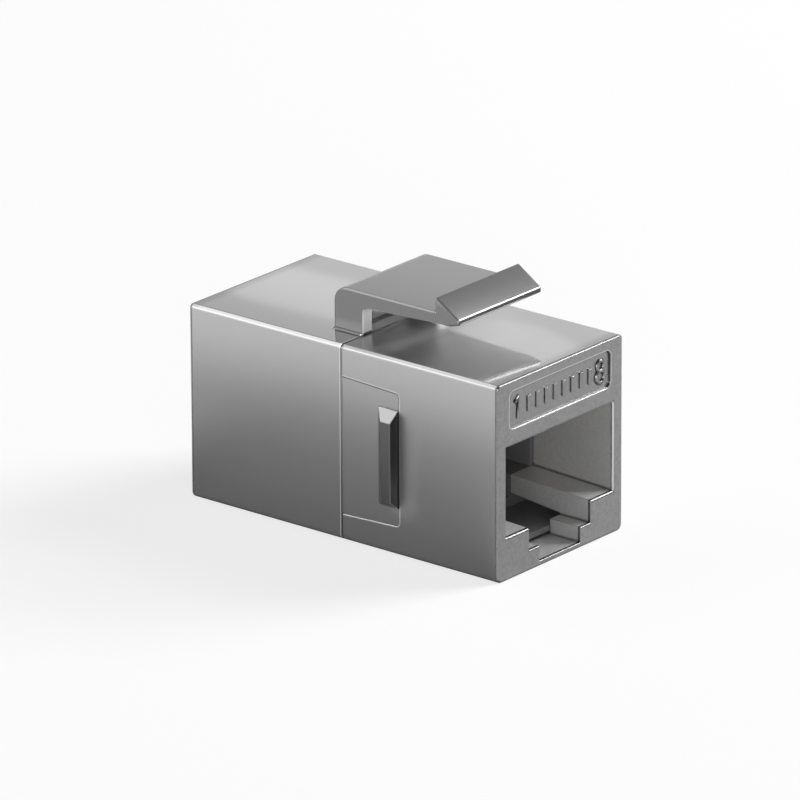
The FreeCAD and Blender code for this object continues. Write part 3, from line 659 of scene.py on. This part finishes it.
# Floor and world: how white they are where they are seen, and how much the world lights
FLOOR_SIZE = 6.0
FLOOR_LEVEL = 0.9
WHITE_SHARE = 0.75
WHITE_SHARE_OFF_METAL = 0.035
WORLD_LEVEL = 0.15
ZENITH_LEVEL = 0.45
ZENITH_HEIGHTS = (0.20, 0.75)

# Lamps: directions as azimuth and elevation in degrees, widths, heights and levels, where 1 is white
LAMP_AIM = Vector((0, 0, 0.008))
LAMP_DISTANCE = 1.0
SOFTBOXES = (
    ("key", -31, 42, 0.46, 0.36, 11.5),
    ("low_key", -31, 26, 0.46, 0.14, 36.0),
    ("fill", -138, 11, 0.60, 0.30, 6.5),
    ("rear", 39.3, 20, 0.08, 0.08, 0.28),
)
STRIPS = (
    ("rear_left", Vector((-0.803, 0.595, 0.03)), Vector((-0.342, 0.595, 0.728))),
    ("rear_top", Vector((-0.342, 0.595, 0.728)), Vector((0.338, 0.595, 0.730))),
)
STRIP_THICKNESS = 0.22
STRIP_LEVEL = 1.5


def sees_background(nodes, off_metal=1.0):
    """1 for camera rays and, to the share given, for the rays off metal and through glass."""
    path = nodes.add("ShaderNodeLightPath")
    bent = nodes.most(path.outputs["Is Glossy Ray"], path.outputs["Is Transmission Ray"])
    return nodes.most(path.outputs["Is Camera Ray"], nodes.times(bent, off_metal))


def add_floor():
    """A plain white floor that keeps the object's shadow."""
    half = FLOOR_SIZE / 2
    corners = [(-half, -half, 0), (half, -half, 0), (half, half, 0), (-half, half, 0)]
    mesh = bpy.data.meshes.new("floor")
    mesh.from_pydata(corners, [], [(0, 1, 2, 3)])
    floor = bpy.data.objects.new("floor", mesh)
    bpy.context.scene.collection.objects.link(floor)
    material, nodes = new_material("floor_white")
    paint = nodes.add("ShaderNodeBsdfDiffuse", Color=grey(FLOOR_LEVEL))
    glow = nodes.add("ShaderNodeEmission", Color=grey(1), Strength=1.0)
    share = nodes.times(sees_background(nodes, WHITE_SHARE_OFF_METAL), WHITE_SHARE)
    blend = nodes.add("ShaderNodeMixShader")
    nodes.put(blend, "0", share)
    nodes.put(blend, "1", paint.outputs[0])
    nodes.put(blend, "2", glow.outputs[0])
    nodes.add("ShaderNodeOutputMaterial", Surface=blend.outputs[0])
    mesh.materials.append(material)


def add_world():
    """White where it is seen, a plain grey level where it only lights."""
    world = bpy.data.worlds.new("studio")
    world.use_nodes = True
    bpy.context.scene.world = world
    nodes = Nodes(world.node_tree)
    direction = nodes.add("ShaderNodeTexCoord").outputs["Generated"]
    height = nodes.add("ShaderNodeSeparateXYZ", Vector=direction).outputs["Z"]
    seen = nodes.ramp(height, *ZENITH_HEIGHTS, 1.0, ZENITH_LEVEL)
    level = nodes.pick(sees_background(nodes), WORLD_LEVEL, seen)
    sky = nodes.add("ShaderNodeBackground", Color=grey(1), Strength=level)
    nodes.add("ShaderNodeOutputWorld", Surface=sky.outputs[0])


def toward(azimuth, elevation):
    """The direction at that azimuth, counted from +X toward +Y, and that elevation, in degrees."""
    turn = math.radians(azimuth)
    rise = math.radians(elevation)
    return Vector((math.cos(turn) * math.cos(rise), math.sin(turn) * math.cos(rise), math.sin(rise)))


def add_softbox(name, place, width, height, level, spin=0.0):
    """An area lamp of that size, aimed at the part, that looks as bright as the level, where 1 is white."""
    data = bpy.data.lights.new(name, "AREA")
    data.shape = "RECTANGLE"
    data.size = width
    data.size_y = height
    data.energy = math.pi * width * height * level
    lamp = bpy.data.objects.new(name, data)
    lamp.location = place
    aim = (LAMP_AIM - Vector(place)).to_track_quat("-Z", "Y")
    lamp.rotation_euler = (aim.to_matrix() @ Matrix.Rotation(spin, 3, "Z")).to_euler()
    bpy.context.scene.collection.objects.link(lamp)


def add_strip(name, start, end):
    """A straight strip lamp between two directions."""
    start = start * LAMP_DISTANCE
    end = end * LAMP_DISTANCE
    place = (start + end) / 2
    aim = (LAMP_AIM - place).to_track_quat("-Z", "Y").to_matrix()
    run = aim.transposed() @ (end - start)
    add_softbox(name, place, (end - start).length, STRIP_THICKNESS, STRIP_LEVEL, math.atan2(run.y, run.x))


def add_studio():
    """Floor, world and lamps."""
    add_floor()
    add_world()
    for name, azimuth, elevation, width, height, level in SOFTBOXES:
        add_softbox(name, toward(azimuth, elevation) * LAMP_DISTANCE, width, height, level)
    for name, start, end in STRIPS:
        add_strip(name, start, end)


def main():
    """Builds the whole scene."""
    clear_scene()
    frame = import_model()
    made = dress(frame)
    add_panel_marks(made["nickel_plate"])
    add_studio()
    add_camera()
    bpy.context.scene.view_settings.view_transform = "Standard"
    bpy.context.view_layer.update()


main()
